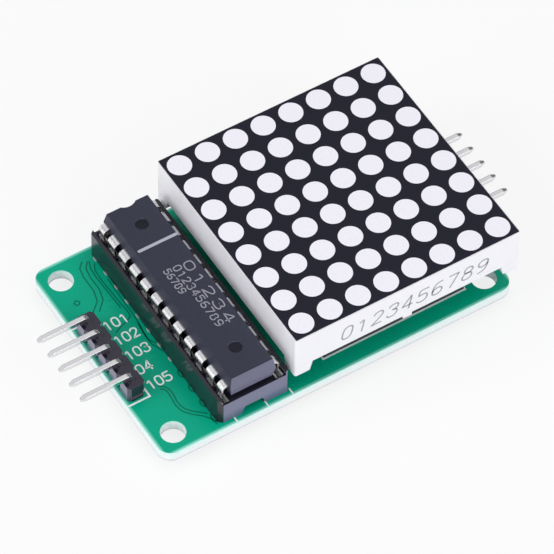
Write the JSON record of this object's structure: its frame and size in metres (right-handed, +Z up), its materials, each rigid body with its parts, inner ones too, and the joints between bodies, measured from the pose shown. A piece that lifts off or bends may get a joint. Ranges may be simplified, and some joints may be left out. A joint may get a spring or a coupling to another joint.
{
  "type": "led dot matrix module",
  "caption": "Small green circuit board with a square white-dot LED matrix display, a socketed driver chip, an angled pin header at each end and a screw hole near each corner.",
  "frame": {"origin": "middle of the four screw holes, on the underside of the circuit board", "axes": "+X from the input header to the output header, +Y towards the chip's notched end, +Z up through the display's face"},
  "size_m": [0.0612, 0.032, 0.0136],
  "materials": {
    "board_laminate": "solder-masked glass-fibre board",
    "black_moulding": "moulded",
    "contact_metal": "tin plated",
    "chip_moulding": "fine matt moulding",
    "lead_metal": "tinned",
    "pin_metal": "plated",
    "white_moulding": "satin",
    "black_film": "smooth ink film",
    "clear_filling": "milky cast resin",
    "die": "polished",
    "rear_laminate": "bare laminate",
    "resistor_coat": "lacquered",
    "ceramic_coat": "dipped",
    "can_metal": "drawn",
    "seal_rubber": "moulded",
    "sleeve_film": "shrunk film",
    "solder": "reflowed"
  },
  "bodies": {
    "root": {"circuit_board": "board_laminate", "socket_frame": "black_moulding", "input_header_block": "black_moulding", "output_header_block": "black_moulding", "strip_body_front": "black_moulding", "strip_body_back": "black_moulding", "socket_contacts_left": "contact_metal", "socket_contacts_right": "contact_metal", "strip_contacts_front": "contact_metal", "strip_contacts_back": "contact_metal", "chip_body": "chip_moulding", "chip_leads_left": "lead_metal", "chip_leads_right": "lead_metal", "display_pins_front": "lead_metal", "display_pins_back": "lead_metal", "resistor_leads": "lead_metal", "bypass_capacitor_leads": "lead_metal", "bulk_capacitor_leads": "lead_metal", "input_pin_1": "pin_metal", "input_pin_2": "pin_metal", "input_pin_3": "pin_metal", "input_pin_4": "pin_metal", "input_pin_5": "pin_metal", "output_pin_1": "pin_metal", "output_pin_2": "pin_metal", "output_pin_3": "pin_metal", "output_pin_4": "pin_metal", "output_pin_5": "pin_metal", "display_housing": "white_moulding", "display_feet": "white_moulding", "display_film": "black_film", "lens_row_1": "clear_filling", "lens_row_2": "clear_filling", "lens_row_3": "clear_filling", "lens_row_4": "clear_filling", "lens_row_5": "clear_filling", "lens_row_6": "clear_filling", "lens_row_7": "clear_filling", "lens_row_8": "clear_filling", "led_dice": "die", "display_board": "rear_laminate", "resistor_body": "resistor_coat", "bypass_capacitor_body": "ceramic_coat", "bulk_capacitor_can": "can_metal", "bulk_capacitor_seal": "seal_rubber", "bulk_capacitor_sleeve": "sleeve_film", "solder_input_header": "solder", "solder_output_header": "solder", "solder_socket": "solder", "solder_strips": "solder", "solder_small_parts": "solder"}
  },
  "joints": []
}
